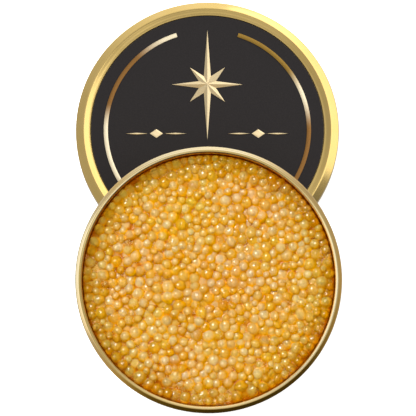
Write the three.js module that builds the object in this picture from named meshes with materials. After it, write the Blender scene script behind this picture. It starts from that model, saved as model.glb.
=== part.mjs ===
// Open tin of golden caviar, leaning on its own lid, which lies face up behind it.
// Millimetres, +Z up, the viewer at -Y. The origin is on the table, under the middle of the whole.
import * as THREE from 'three';
import { ConvexHull } from 'three/addons/math/ConvexHull.js';

// Both round pieces
const SHEET = 0.35;                  // thickness of the tinplate
const ROUND_SEGMENTS = 48;
const REST_GAP = 0.3;                // left between pieces that rest on each other

// Tin, measured along its own axis from the foot up
const TIN_HEIGHT = 26;
const TIN_WALL_RADIUS = 42.05;       // outside of the wall
const RIM_RADIUS = 44;               // outermost line of the rolled rim
const RIM_CURL = 1.05;               // radius of the rim's rolled outer edge
const RIM_CREST_RADIUS = 42.6;
const FOOT_OUTER_RADIUS = 40.9;
const FOOT_WIDTH = 0.6;
const BASE_RECESS = 2.1;             // the base panel lies this far above the foot

// Lid, measured from the table up
const LID_RADIUS = 44.5;
const LID_HEIGHT = 7;
const LID_SHOULDER_HEIGHT = 4.5;     // where the upright skirt turns into the shoulder
const LID_RIDGE_RADIUS = 41.9;
const LID_STEP_RADIUS = 40.2;        // foot of the ridge's inner slope
const LID_PANEL_RADIUS = 39.4;
const LID_PANEL_DROP = 0.9;          // the label's panel lies this far below the ridge
const HEM_WIDTH = 0.7;
const HEM_HEIGHT = 1.2;

// Label and its foil print
const LABEL_RADIUS = 39.2;
const LABEL_THICKNESS = 0.25;
const FOIL_THICKNESS = 0.2;
const ARC_RADIUS = 34.3;             // middle line of the two foil arcs
const ARC_WIDTH = 1.45;
const ARC_GAP_HALF_ANGLE = 17.6;     // degrees from the label's upright line to an arc's end
const ARC_SEGMENTS = 10;
const STAR_CENTRE_Y = 15.5;
const STAR_HEIGHT = 0.9;
const STAR_EDGE_HEIGHT = 0.15;
const STAR_UPRIGHT_POINT = 19;
const STAR_SIDE_POINT = 12;
const STAR_SLANTED_POINT = 8.4;
const STAR_NOTCH_RADIUS = 3.1;
const DIVIDER_CENTRE_X = 17.2;
const DIVIDER_Y = -1.4;
const DIVIDER_HALF_LENGTH = 10.4;
const DIVIDER_HALF_WIDTH = 0.3;
const DIVIDER_LOZENGE = [2.2, 1.5];  // half length and half width of the lozenge on each divider

// Caviar
const EGG_COUNT = 735;
const EGG_RADIUS = 1.42;
const EGG_SIZE_SPREAD = 0.13;        // the most that an egg differs from the middle size, as a share
const LARGE_EGG_SHARE = 1.04;        // an egg above this share of the middle size has five sides, not four
const EGG_HEIGHT_SPREAD = 0.35;
const CAVIAR_TOP = 22.6;             // mean height of the egg tops above the foot
const EGG_CAP_SHARE = 0.58;          // radius of an egg's flat top, as a share of the egg's
const HOLLOW_DEPTH = 1.25;           // depth of the hollows between eggs, below their tops
const RELAX_STEPS = 120;

// Where the tin rests on the lid
const LID_TO_TIN = 52.4;             // from the lid's axis to the middle of the tin's foot
const TIN_SIDE_SHIFT = 0.4;

const GOLD = { color: 0xd9b56a, roughness: 0.28, metalness: 1 };

// Lathe work and points on arcs

function arcPoints(centreR, centreZ, radius, fromDegrees, toDegrees, steps) {
  const points = [];
  for (let i = 0; i <= steps; i += 1) {
    const angle = THREE.MathUtils.degToRad(fromDegrees + ((toDegrees - fromDegrees) * i) / steps);
    points.push([centreR + radius * Math.cos(angle), centreZ + radius * Math.sin(angle)]);
  }
  return points;
}

// The profile is a list of [radius, height], counterclockwise, from the axis round to the axis.
function turned(profile) {
  const points = profile.map(([radius, height]) => new THREE.Vector2(radius, height));
  return new THREE.LatheGeometry(points, ROUND_SEGMENTS).rotateX(Math.PI / 2);
}

function named(name, geometry, look) {
  const mesh = new THREE.Mesh(geometry, new THREE.MeshStandardMaterial(look));
  mesh.name = name;
  return mesh;
}

// Tin

function tinBody() {
  const innerRadius = TIN_WALL_RADIUS - SHEET;
  const floor = BASE_RECESS + SHEET;
  const footInner = FOOT_OUTER_RADIUS - FOOT_WIDTH;
  const corner = TIN_WALL_RADIUS - FOOT_OUTER_RADIUS;
  const curlZ = TIN_HEIGHT - 1.5;
  return turned([
    [0, BASE_RECESS],
    [footInner - 0.7, BASE_RECESS],
    [footInner - 0.3, 0.3],
    [footInner, 0],
    ...arcPoints(FOOT_OUTER_RADIUS, corner, corner, -90, 0, 3),
    [TIN_WALL_RADIUS, curlZ - 0.8],
    ...arcPoints(RIM_RADIUS - RIM_CURL, curlZ, RIM_CURL, -115, 40, 5),
    [RIM_CREST_RADIUS + 0.2, TIN_HEIGHT],
    [RIM_CREST_RADIUS - 0.2, TIN_HEIGHT - 0.05],
    [innerRadius + 0.05, TIN_HEIGHT - 0.85],
    ...arcPoints(innerRadius - 1, floor + 1, 1, 0, -90, 2),
    [0, floor],
  ]);
}

// Lid

function tinLid() {
  const panelTop = LID_HEIGHT - LID_PANEL_DROP;
  const stepTop = panelTop + 0.25;
  const skirtInner = LID_RADIUS - SHEET;
  return turned([
    [0, panelTop - SHEET],
    [LID_PANEL_RADIUS, panelTop - SHEET],
    [LID_STEP_RADIUS, stepTop - SHEET],
    [LID_RIDGE_RADIUS, LID_HEIGHT - SHEET],
    [skirtInner, LID_SHOULDER_HEIGHT - 0.15],
    [skirtInner, HEM_HEIGHT + 0.15],
    [LID_RADIUS - HEM_WIDTH, HEM_HEIGHT],
    [LID_RADIUS - HEM_WIDTH, 0],
    [LID_RADIUS, 0],
    [LID_RADIUS, LID_SHOULDER_HEIGHT],
    [LID_RADIUS - 0.5, LID_SHOULDER_HEIGHT + 0.6],
    [LID_RIDGE_RADIUS + 0.35, LID_HEIGHT - 0.12],
    [LID_RIDGE_RADIUS, LID_HEIGHT],
    [LID_RIDGE_RADIUS - 0.35, LID_HEIGHT - 0.1],
    [LID_STEP_RADIUS, stepTop],
    [LID_PANEL_RADIUS, panelTop],
    [0, panelTop],
  ]);
}

// Label, its arcs, its star and its two dividers

function labelDisc() {
  return turned([[0, 0], [LABEL_RADIUS, 0], [LABEL_RADIUS, LABEL_THICKNESS], [0, LABEL_THICKNESS]]);
}

function foil(shape, curveSegments = 1) {
  return new THREE.ExtrudeGeometry(shape, { depth: FOIL_THICKNESS, bevelEnabled: false, curveSegments });
}

function labelArc(side) {
  const start = THREE.MathUtils.degToRad(90 - side * ARC_GAP_HALF_ANGLE);
  const end = THREE.MathUtils.degToRad(90 - side * (180 - ARC_GAP_HALF_ANGLE));
  const clockwise = side > 0;
  const shape = new THREE.Shape();
  shape.absarc(0, 0, ARC_RADIUS + ARC_WIDTH / 2, start, end, clockwise);
  shape.absarc(0, 0, ARC_RADIUS - ARC_WIDTH / 2, end, start, !clockwise);
  shape.closePath();
  return foil(shape, ARC_SEGMENTS);
}

// A faceted star: its rim is low, and ridges run from each point and valley up to the middle.
function labelStar() {
  const pointLengths = [
    STAR_SIDE_POINT, STAR_SLANTED_POINT, STAR_UPRIGHT_POINT, STAR_SLANTED_POINT,
  ];
  const outline = [];
  for (let i = 0; i < 16; i += 1) {
    const radius = i % 2 ? STAR_NOTCH_RADIUS : pointLengths[(i / 2) % 4];
    const angle = (i * Math.PI) / 8;
    outline.push([radius * Math.cos(angle), radius * Math.sin(angle)]);
  }
  const vertices = [0, 0, 0, 0, 0, STAR_HEIGHT];
  for (const [x, y] of outline) vertices.push(x, y, 0, x, y, STAR_EDGE_HEIGHT);
  const faces = [];
  for (let i = 0; i < outline.length; i += 1) {
    const low = 2 + 2 * i;
    const nextLow = 2 + 2 * ((i + 1) % outline.length);
    faces.push(0, nextLow, low, 1, low + 1, nextLow + 1);
    faces.push(low, nextLow, nextLow + 1, low, nextLow + 1, low + 1);
  }
  return fromTriangles(vertices, faces);
}

function divider() {
  const [lozengeLength, lozengeWidth] = DIVIDER_LOZENGE;
  const neck = lozengeLength * (1 - DIVIDER_HALF_WIDTH / lozengeWidth);
  const upper = [
    [DIVIDER_HALF_LENGTH, 0],
    [DIVIDER_HALF_LENGTH - 3, DIVIDER_HALF_WIDTH],
    [neck, DIVIDER_HALF_WIDTH],
    [0, lozengeWidth],
    [-neck, DIVIDER_HALF_WIDTH],
    [3 - DIVIDER_HALF_LENGTH, DIVIDER_HALF_WIDTH],
    [-DIVIDER_HALF_LENGTH, 0],
  ];
  const lower = upper.slice(1, -1).reverse().map(([x, y]) => [x, -y]);
  return foil(new THREE.Shape([...upper, ...lower].map(([x, y]) => new THREE.Vector2(x, y))));
}

// Caviar: one mass, with the eggs that show as bumps of their own size

function fromTriangles(vertices, faces) {
  const geometry = new THREE.BufferGeometry();
  geometry.setAttribute('position', new THREE.Float32BufferAttribute(vertices, 3));
  geometry.setIndex(faces);
  return geometry;
}

function seededRandom(seed) {
  let state = seed;
  return () => {
    state = (Math.imul(state, 1664525) + 1013904223) >>> 0;
    return state / 2 ** 32;
  };
}

// Eggs on a spiral, shaken, then pushed apart until they lie evenly but not in rows.
function layEggs(random, bedRadius) {
  const goldenAngle = Math.PI * (3 - Math.sqrt(5));
  const eggs = [];
  for (let i = 0; i < EGG_COUNT; i += 1) {
    const size = EGG_RADIUS * (1 + EGG_SIZE_SPREAD * (2 * random() - 1));
    const reach = (bedRadius - size) * Math.sqrt((i + 0.5) / EGG_COUNT);
    const angle = i * goldenAngle + 0.5 * random();
    eggs.push({ x: reach * Math.cos(angle), y: reach * Math.sin(angle), size });
  }
  const closeness = 1.06;
  for (let step = 0; step < RELAX_STEPS; step += 1) {
    for (let i = 0; i < EGG_COUNT; i += 1) {
      for (let j = i + 1; j < EGG_COUNT; j += 1) {
        pushApart(eggs[i], eggs[j], closeness);
      }
      const egg = eggs[i];
      const reach = Math.hypot(egg.x, egg.y);
      const limit = bedRadius - egg.size;
      if (reach > limit) {
        egg.x *= limit / reach;
        egg.y *= limit / reach;
      }
    }
  }
  return eggs;
}

function pushApart(first, second, closeness) {
  const dx = second.x - first.x;
  const dy = second.y - first.y;
  const wanted = closeness * (first.size + second.size);
  if (Math.abs(dx) > wanted || Math.abs(dy) > wanted) return;
  const distance = Math.hypot(dx, dy);
  if (distance >= wanted || distance === 0) return;
  const push = (0.25 * (wanted - distance)) / distance;
  first.x -= dx * push;
  first.y -= dy * push;
  second.x += dx * push;
  second.y += dy * push;
}

// Neighbour triangles of points on a plane: the underside of the hull of the points on a bowl.
function planeTriangles(points) {
  const lifted = points.map(({ x, y }, index) => {
    const point = new THREE.Vector3(x, y, (x * x + y * y) / 20);
    point.index = index;
    return point;
  });
  const hull = new ConvexHull().setFromPoints(lifted);
  return hull.faces
    .filter((face) => face.normal.z < -1e-6)
    .map((face) => {
      const edges = [face.edge, face.edge.next, face.edge.prev];
      return edges.map((edge) => edge.head().point.index).reverse();
    });
}

// A band of triangles between an inner and an outer ring of corners, both counterclockwise.
function bandFaces(inner, outer) {
  const total = inner.length + outer.length;
  const faces = [];
  let i = 0;
  let o = 0;
  const angleOf = (ring, k) => ring[k % ring.length].angle + 2 * Math.PI * Math.floor(k / ring.length);
  while (faces.length < total) {
    const takeOuter = i >= inner.length
      || (o < outer.length && angleOf(outer, o + 1) < angleOf(inner, i + 1));
    const a = inner[i % inner.length].vertex;
    const b = outer[o % outer.length].vertex;
    if (takeOuter) {
      o += 1;
      faces.push([a, b, outer[o % outer.length].vertex]);
    } else {
      i += 1;
      faces.push([a, b, inner[i % inner.length].vertex]);
    }
  }
  return faces;
}

function caviarMass() {
  const random = seededRandom(20261);
  const bedRadius = (TIN_WALL_RADIUS - SHEET) * Math.cos(Math.PI / ROUND_SEGMENTS) - REST_GAP;
  const bottom = BASE_RECESS + SHEET + REST_GAP;
  const eggs = layEggs(random, bedRadius);
  const guards = [];
  const guardRadius = bedRadius + EGG_RADIUS;
  const guardCount = Math.round((Math.PI * guardRadius) / EGG_RADIUS);
  for (let i = 0; i < guardCount; i += 1) {
    const angle = (2 * Math.PI * i) / guardCount;
    guards.push({ x: guardRadius * Math.cos(angle), y: guardRadius * Math.sin(angle) });
  }

  const points = [...eggs, ...guards];
  const isGuard = (index) => index >= eggs.length;
  const vertices = [];
  const addVertex = (x, y, z) => vertices.push(x, y, z) / 3 - 1;

  // One hollow between each three neighbours; at the wall it lies on the wall's line.
  const cells = eggs.map(() => []);
  const edgeHollows = [];
  for (const corners of planeTriangles(points)) {
    const guardsHere = corners.filter(isGuard).length;
    if (guardsHere === 3) continue;
    let x = 0;
    let y = 0;
    for (const corner of corners) {
      x += points[corner].x / 3;
      y += points[corner].y / 3;
    }
    let depth = HOLLOW_DEPTH + 0.3 * (random() - 0.5);
    if (guardsHere > 0) {
      const scale = bedRadius / Math.hypot(x, y);
      x *= scale;
      y *= scale;
      depth = HOLLOW_DEPTH + 0.1;
    }
    const vertex = addVertex(x, y, CAVIAR_TOP - depth);
    if (guardsHere > 0) edgeHollows.push({ x, y, vertex, angle: Math.atan2(y, x) });
    for (const corner of corners) {
      if (!isGuard(corner)) cells[corner].push({ x, y, vertex });
    }
  }

  const faces = [];
  eggs.forEach((egg, index) => {
    const sides = egg.size > EGG_RADIUS * LARGE_EGG_SHARE ? 5 : 4;
    const turn = random() * 2 * Math.PI;
    const lift = EGG_HEIGHT_SPREAD * (2 * random() - 1);
    const capRadius = EGG_CAP_SHARE * egg.size;
    const cap = [];
    for (let i = 0; i < sides; i += 1) {
      const angle = turn + (2 * Math.PI * i) / sides;
      const x = egg.x + capRadius * Math.cos(angle);
      const y = egg.y + capRadius * Math.sin(angle);
      const tilt = 0.12 * (random() - 0.5);
      const vertex = addVertex(x, y, CAVIAR_TOP + lift + tilt);
      cap.push({ vertex, angle: Math.atan2(y - egg.y, x - egg.x) });
    }
    const cell = cells[index];
    for (const hollow of cell) hollow.angle = Math.atan2(hollow.y - egg.y, hollow.x - egg.x);
    const byAngle = (first, second) => first.angle - second.angle;
    const inner = [...cap].sort(byAngle);
    const outer = cell.map((hollow) => ({ ...hollow })).sort(byAngle);
    for (const face of bandFaces(inner, outer)) faces.push(...face);
    for (let i = 1; i < sides - 1; i += 1) {
      faces.push(inner[0].vertex, inner[i].vertex, inner[i + 1].vertex);
    }
  });

  // Wall and bottom
  edgeHollows.sort((first, second) => first.angle - second.angle);
  const middle = addVertex(0, 0, bottom);
  const feet = edgeHollows.map(({ x, y }) => addVertex(x, y, bottom));
  edgeHollows.forEach(({ vertex }, i) => {
    const next = (i + 1) % edgeHollows.length;
    faces.push(feet[i], feet[next], edgeHollows[next].vertex, feet[i], edgeHollows[next].vertex, vertex);
    faces.push(middle, feet[next], feet[i]);
  });
  return fromTriangles(vertices, faces);
}

// Assembly: the lid lies on the table, the tin stands on its front foot and leans on the lid's ridge.

const lid = new THREE.Group();
const panelTop = LID_HEIGHT - LID_PANEL_DROP;
const labelTop = panelTop + LABEL_THICKNESS;
lid.add(named('tin_lid', tinLid(), GOLD));
const label = named('label_disc', labelDisc(), { color: 0x332f30, roughness: 0.45, metalness: 0 });
label.position.z = panelTop;
lid.add(label);
const FOIL = { color: 0xd8b878, roughness: 0.3, metalness: 1 };
const printed = [
  named('label_arc_left', labelArc(-1), FOIL),
  named('label_arc_right', labelArc(1), FOIL),
  named('label_star', labelStar(), FOIL),
  named('label_divider_left', divider(), FOIL),
  named('label_divider_right', divider(), FOIL),
];
for (const piece of printed) {
  piece.position.z = labelTop;
  lid.add(piece);
}
printed[2].position.y = STAR_CENTRE_Y;
printed[3].position.set(-DIVIDER_CENTRE_X, DIVIDER_Y, labelTop);
printed[4].position.set(DIVIDER_CENTRE_X, DIVIDER_Y, labelTop);

// The foot circle crosses the ridge circle this far behind the tin's middle, and is lifted there.
const crossing = (LID_TO_TIN ** 2 + FOOT_OUTER_RADIUS ** 2 - LID_RIDGE_RADIUS ** 2) / (2 * LID_TO_TIN);
const lean = Math.asin((LID_HEIGHT + REST_GAP) / (FOOT_OUTER_RADIUS + crossing));
const tin = new THREE.Group();
tin.add(named('tin_body', tinBody(), GOLD));
tin.add(named('caviar', caviarMass(), { color: 0xe0a040, roughness: 0.3, metalness: 0 }));
tin.rotation.x = lean;
tin.position.set(TIN_SIDE_SHIFT, -LID_TO_TIN, FOOT_OUTER_RADIUS * Math.sin(lean));

const group = new THREE.Group();
group.add(lid, tin);
group.updateMatrixWorld(true);
const reach = new THREE.Box3().setFromObject(group, true);
group.position.y = -(reach.min.y + reach.max.y) / 2;

export default group;
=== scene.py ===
import math

import bpy
import numpy as np
from mathutils import Matrix, Vector


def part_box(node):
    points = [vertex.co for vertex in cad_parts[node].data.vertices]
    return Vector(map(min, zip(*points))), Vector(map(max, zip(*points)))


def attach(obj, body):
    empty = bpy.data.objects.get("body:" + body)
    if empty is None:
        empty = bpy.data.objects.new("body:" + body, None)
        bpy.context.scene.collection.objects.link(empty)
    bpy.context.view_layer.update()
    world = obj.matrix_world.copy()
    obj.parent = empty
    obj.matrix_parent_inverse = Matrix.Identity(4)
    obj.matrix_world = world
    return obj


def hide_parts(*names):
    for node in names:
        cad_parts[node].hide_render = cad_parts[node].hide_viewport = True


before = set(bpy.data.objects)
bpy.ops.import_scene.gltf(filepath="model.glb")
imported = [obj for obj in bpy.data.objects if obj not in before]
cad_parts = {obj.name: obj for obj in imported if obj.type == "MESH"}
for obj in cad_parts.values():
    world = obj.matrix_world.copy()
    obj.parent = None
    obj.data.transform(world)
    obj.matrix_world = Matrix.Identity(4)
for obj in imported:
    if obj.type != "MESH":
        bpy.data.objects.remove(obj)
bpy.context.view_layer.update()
bpy.ops.object.select_all(action="DESELECT")

MM = 0.001

# Round pieces
ROUND_SIDES = 192
MIDDLE_RADIUS = 30.0
ROUND_SMOOTH_ANGLE = 35
FOIL_SMOOTH_ANGLE = 30
FOLD_SMOOTH_ANGLE = 5
DOUBLES_WITHIN = 0.001
SAME_CORNER_WITHIN = 0.1
AT_CENTRE_WITHIN = 0.01

# Tin
SHEET = 0.35
TIN_HEIGHT = 26.0
TIN_WALL_RADIUS = 42.05
RIM_RADIUS = 44.0
RIM_CURL = 1.05
RIM_CURL_DROP = 1.5
RIM_NECK_DROP = 2.5
RIM_CREST_RADIUS = 42.6
CREST_INSET = 0.08
CREST_ROUND = 0.3
CREST_SHOULDER = (0.5, 0.2)
FOOT_OUTER_RADIUS = 40.9
FOOT_WIDTH = 0.6
FOOT_ROUND = 0.3
FOOT_ROUND_INSET = 0.05
FLOOR_CORNER = 1
BASE_RECESS = 2.1
BASE_BEAD_RADIUS = 34.0
BASE_BEAD_ROUND = 0.9
BASE_BEAD_SINK = 0.35
# From the base down to the foot: how far in from the foot, and how high
FOOT_SLOPE = [(0.8, BASE_RECESS), (0.55, BASE_RECESS - 0.2), (0.3, FOOT_ROUND)]
# From the crest of the rim down to the wall: how far out from the wall, and how far below the top
LIP_SLOPE = [(0.62, 0.09), (0.42, 0.18), (0.24, 0.31), (0.1, 0.5), (0.03, 0.75), (0.0, 1.1)]

# Lid
LID_RADIUS = 44.5
LID_HEIGHT = 7.0
LID_SHOULDER_HEIGHT = 4.5
LID_SHOULDER_DROP = 0.1
LID_SHOULDER_ROUND = 0.8
LID_RIDGE_RADIUS = 41.9
LID_RIDGE_INSET = 0.15
LID_RIDGE_ROUND = 1.0
LID_STEP_RADIUS = 40.2
LID_STEP_RISE = 0.25
LID_PANEL_RADIUS = 39.4
LID_PANEL_DROP = 0.9
SKIRT_CORNER = 0.15
HEM_WIDTH = 0.7
HEM_HEIGHT = 1.2
HEM_INNER_ROUND = 0.12
HEM_OUTER_ROUND = 0.2
# From the ridge down to the panel, as radius and height
LID_SLOPE = [
    (41.1, 6.80), (40.88, 6.70), (40.68, 6.615), (40.5, 6.55),
    (40.3, 6.495), (40.1, 6.455), (39.85, 6.425), (39.58, 6.405),
]

# Label and its foil
LABEL_RADIUS = 39.36
LABEL_THICKNESS = 0.25
LABEL_EDGE = 0.08
FOIL_THICKNESS = 0.2
ARC_RADIUS = 34.3
ARC_WIDTH = 1.45
ARC_CORNER = 0.06
ARC_STEPS = 72
ARC_GAP_HALF_ANGLE = 17.6
STAR_CENTRE_Y = 15.5
STAR_HEIGHT = 0.9
STAR_EDGE_HEIGHT = 0.15
# To the tips at the right, at the slants and at the top
STAR_POINTS = (12.0, 8.4, 19.0, 8.4)
STAR_NOTCH_RADIUS = 3.1
DIVIDER_CENTRE_X = 17.2
DIVIDER_Y = -1.4
DIVIDER_HALF_LENGTH = 10.4
LOZENGE_HALF_LENGTH = 2.2
LOZENGE_HALF_WIDTH = 1.5
LOZENGE_EDGE_HEIGHT = 0.12
LOZENGE_SLOPE = 0.45
LOZENGE_CROWN = 0.08
LINE_START = 2.6
LINE_HALF_WIDTH = 0.32
LINE_HEIGHT = 0.15
LINE_TAPER = (0.9, 0.5)

# Caviar
EGG_RADIUS = 1.7
EGG_SIZE_SPREAD = 0.30
EGG_COUNT = 1215
EGG_SINK = 0.5
EGG_PRESS = 0.94
BED_RADIUS = 41.45
BED_TOP = 22.85
BED_DEPTH = 6.0
BED_LIFT = 0.3

# Where the tin rests on the lid
LID_TO_TIN = 52.4
TIN_SIDE_SHIFT = 0.4
REST_GAP = 0.3

lid_low, lid_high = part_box("tin_lid")
LID_PLACE = Vector(((lid_low.x + lid_high.x) / 2, (lid_low.y + lid_high.y) / 2, 0.0))
crossing = (LID_TO_TIN**2 + FOOT_OUTER_RADIUS**2 - LID_RIDGE_RADIUS**2) / (2 * LID_TO_TIN)
LEAN = math.asin((LID_HEIGHT + REST_GAP) / (FOOT_OUTER_RADIUS + crossing))
TIN_PLACE = LID_PLACE + Vector((
    TIN_SIDE_SHIFT * MM,
    -LID_TO_TIN * MM,
    FOOT_OUTER_RADIUS * MM * math.sin(LEAN),
))
TIN_MATRIX = Matrix.Translation(TIN_PLACE) @ Matrix.Rotation(LEAN, 4, "X")
LID_MATRIX = Matrix.Translation(LID_PLACE)


# Shader nodes

def new_material(name):
    material = bpy.data.materials.new(name)
    material.use_nodes = True
    tree = material.node_tree
    return material, tree, tree.nodes["Principled BSDF"]


def set_values(node, **values):
    """Sets a node's properties and its unlinked inputs by name."""
    for key, value in values.items():
        if hasattr(node, key):
            setattr(node, key, value)
        else:
            node.inputs[key.replace("_", " ")].default_value = value
    return node


def add(tree, kind, **values):
    return set_values(tree.nodes.new(kind), **values)


def separate(tree, vector):
    """The X, Y and Z of a vector, by name."""
    node = tree.nodes.new("ShaderNodeSeparateXYZ")
    tree.links.new(vector, node.inputs["Vector"])
    return node.outputs


def map_range(tree, source, low, high, to_low=0.0, to_high=1.0):
    """Goes from to_low to to_high as the source goes from low to high."""
    node = add(
        tree, "ShaderNodeMapRange", From_Min=low, From_Max=high, To_Min=to_low, To_Max=to_high
    )
    tree.links.new(source, node.inputs["Value"])
    return node.outputs["Result"]


def multiply(tree, first, second):
    node = add(tree, "ShaderNodeVectorMath", operation="MULTIPLY")
    tree.links.new(first, node.inputs[0])
    tree.links.new(second, node.inputs[1])
    return node.outputs["Vector"]


def noise(tree, vector, **values):
    node = add(tree, "ShaderNodeTexNoise", **values)
    tree.links.new(vector, node.inputs["Vector"])
    return node.outputs["Fac"]


def bump(tree, height, strength, distance):
    node = add(tree, "ShaderNodeBump", Strength=strength, Distance=distance)
    tree.links.new(height, node.inputs["Height"])
    return node.outputs["Normal"]


def ramp(tree, source, stops, mode="LINEAR"):
    node = tree.nodes.new("ShaderNodeValToRGB")
    node.color_ramp.interpolation = mode
    elements = node.color_ramp.elements
    while len(elements) > 1:
        elements.remove(elements[-1])
    elements[0].position, elements[0].color = stops[0][0], (*stops[0][1], 1)
    for place, colour in stops[1:]:
        elements.new(place).color = (*colour, 1)
    tree.links.new(source, node.inputs["Fac"])
    return node.outputs["Color"]


def turn_share(degrees):
    """An angle from -180 to 180 as a share of the whole turn."""
    return (degrees + 180) / 360


def whole_turn(tree, rise, run):
    """The angle of a rise over a run, from -180 to 180 degrees, as a share of the whole turn."""
    turn = add(tree, "ShaderNodeMath", operation="ARCTAN2")
    tree.links.new(rise, turn.inputs[0])
    tree.links.new(run, turn.inputs[1])
    return map_range(tree, turn.outputs["Value"], -math.pi, math.pi)


def azimuth(tree, vector):
    """The angle of a vector round Z, from +X towards +Y, as a share of the whole turn."""
    parts = separate(tree, vector)
    return whole_turn(tree, parts["Y"], parts["X"])


def tones_by_azimuth(tree, turn, stops):
    """Greys read off a table of azimuths in degrees and brightness."""
    return ramp(tree, turn, [(turn_share(angle), (tone,) * 3) for angle, tone in stops])


def blend(tree, share, first, second):
    """Goes from the first colour to the second as the share goes from 0 to 1."""
    node = add(tree, "ShaderNodeMix", data_type="RGBA")
    tree.links.new(share, node.inputs[0])
    # A colour mix keeps its two colours in inputs 6 and 7 and its result in output 2
    for source, place in ((first, node.inputs[6]), (second, node.inputs[7])):
        if isinstance(source, tuple):
            place.default_value = (*source, 1)
        else:
            tree.links.new(source, place)
    return node.outputs[2]


# Camera, floor and light

CAMERA_ELEVATION = math.radians(79.5)
CAMERA_DISTANCE = 1.3042
CAMERA_TARGET = Vector((0.00022, 0.00139, 0.0))
CAMERA_LENS = 333.85
SENSOR_WIDTH = 36


def place_camera():
    data = bpy.data.cameras.new("camera")
    data.sensor_width = SENSOR_WIDTH
    data.lens = CAMERA_LENS
    camera = bpy.data.objects.new("camera", data)
    bpy.context.scene.collection.objects.link(camera)
    back = Vector((0, -math.cos(CAMERA_ELEVATION), math.sin(CAMERA_ELEVATION)))
    camera.location = CAMERA_TARGET + back * CAMERA_DISTANCE
    camera.rotation_euler = (-back).to_track_quat("-Z", "Y").to_euler()
    bpy.context.scene.camera = camera


def softbox(name, bearing, lean, distance, size, radiance, lights_only, seen_by="both"):
    """A soft square lamp at that bearing (from +X towards +Y), leaned that far from upright.

    It can be left out of the reflections (seen_by "diffuse") or show in them only ("glossy")."""
    lamp = bpy.data.lights.new(name, "AREA")
    lamp.shape = "RECTANGLE"
    lamp.size, lamp.size_y = size
    lamp.energy = radiance * math.pi * size[0] * size[1]
    holder = bpy.data.objects.new(name, lamp)
    bpy.context.scene.collection.objects.link(holder)
    turn = math.radians(bearing)
    tilt = math.radians(lean)
    out = Vector((math.cos(turn) * math.sin(tilt), math.sin(turn) * math.sin(tilt), math.cos(tilt)))
    holder.location = out * distance
    holder.rotation_euler = out.to_track_quat("Z", "Y").to_euler()
    holder.visible_camera = False
    holder.visible_glossy = seen_by != "diffuse"
    holder.visible_diffuse = seen_by != "glossy"
    holder.light_linking.receiver_collection = lights_only
    return holder


# Brightness of the surroundings by azimuth, counted from +X towards +Y: low down and high up
HORIZON_GLOW = [
    (-180, 0.45), (-135, 0.42), (-118, 0.10), (-90, 0.04), (-38, 0.06), (-20, 0.27), (0, 0.42),
    (45, 0.45), (70, 0.95), (90, 1.05), (110, 0.88), (135, 0.55), (160, 0.45), (180, 0.45),
]
UPPER_GLOW = [
    (-180, 0.42), (-135, 0.75), (-110, 0.78), (-70, 0.90), (-45, 1.35), (-20, 0.90), (0, 0.45),
    (20, 0.50), (45, 0.60), (70, 0.72), (90, 0.77), (110, 0.77), (135, 0.55), (160, 0.42), (180, 0.42),
]
ZENITH_GLOW = 0.50
# Between which shares of the way up the low glow gives way to the upper one, and that to the zenith's
UPPER_FROM = (0.5, 0.9)
ZENITH_FROM = (0.92, 0.98)
# A row of small strong lamps that only the wet skins of the roe mirror
GLINT_BEARINGS = (126, 138, 150)
GLINT_GLOW = 5600.0
RIGHT_WALL_HEIGHT = 1.7
FLOOR_SIZE = 6
FLOOR_TONE = (0.6, 0.6, 0.6)


def hang_backdrop():
    """Soft light all round: pale behind the tin, dimmer at the sides and dark low down in front."""
    world = bpy.data.worlds.new("studio")
    world.use_nodes = True
    tree = world.node_tree
    direction = tree.nodes.new("ShaderNodeTexCoord").outputs["Generated"]
    turn = azimuth(tree, direction)
    height = separate(tree, direction)["Z"]
    rings = [tones_by_azimuth(tree, turn, stops) for stops in (HORIZON_GLOW, UPPER_GLOW)]
    around = blend(tree, map_range(tree, height, *UPPER_FROM), *rings)
    glow = blend(tree, map_range(tree, height, *ZENITH_FROM), around, (ZENITH_GLOW,) * 3)
    tree.links.new(glow, tree.nodes["Background"].inputs["Color"])
    bpy.context.scene.world = world


def light_the_studio(roe_things, tin_things, lid_things, foil_things):
    hang_backdrop()
    for bearing in GLINT_BEARINGS:
        softbox(
            f"glint_{bearing}", bearing, lean=36, distance=1.2, size=(0.16, 0.1),
            radiance=GLINT_GLOW, lights_only=roe_things, seen_by="glossy",
        )
    # The roe lets light through, so its own lamp casts no shadows
    key = softbox(
        "key", bearing=135, lean=20, distance=1.2, size=(2.0, 2.0),
        radiance=1.13, lights_only=roe_things, seen_by="diffuse",
    )
    key.data.use_shadow = False
    softbox(
        "left_wall", bearing=178, lean=60, distance=1.3, size=(1.3, 1.8),
        radiance=0.58, lights_only=tin_things,
    )
    right_wall = softbox(
        "right_wall", bearing=36.5, lean=90, distance=1.0, size=(2.04, 4.0),
        radiance=0.98, lights_only=lid_things,
    )
    right_wall.location.z = RIGHT_WALL_HEIGHT
    softbox(
        "foil_sky", bearing=90, lean=12, distance=1.3, size=(0.9, 0.9),
        radiance=0.6, lights_only=foil_things,
    )


def lay_floor():
    bpy.ops.mesh.primitive_plane_add(size=FLOOR_SIZE, location=(0, 0, 0))
    floor = bpy.context.active_object
    floor.name = "floor"
    floor.visible_glossy = False
    material, _, shader = new_material("pale_floor")
    set_values(
        shader, Base_Color=(*FLOOR_TONE, 1), Roughness=0.9,
        Emission_Color=(1, 1, 1, 1), Emission_Strength=0.8,
    )
    floor.data.materials.append(material)
    floor.select_set(False)
    return floor


# Modelling by hand: rings drawn out from a circle, one for each corner of the profile

def arc_points(centre_r, centre_z, radius, start, end, steps):
    angles = [math.radians(start + (end - start) * i / steps) for i in range(steps + 1)]
    return [(centre_r + radius * math.cos(a), centre_z + radius * math.sin(a)) for a in angles]


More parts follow.
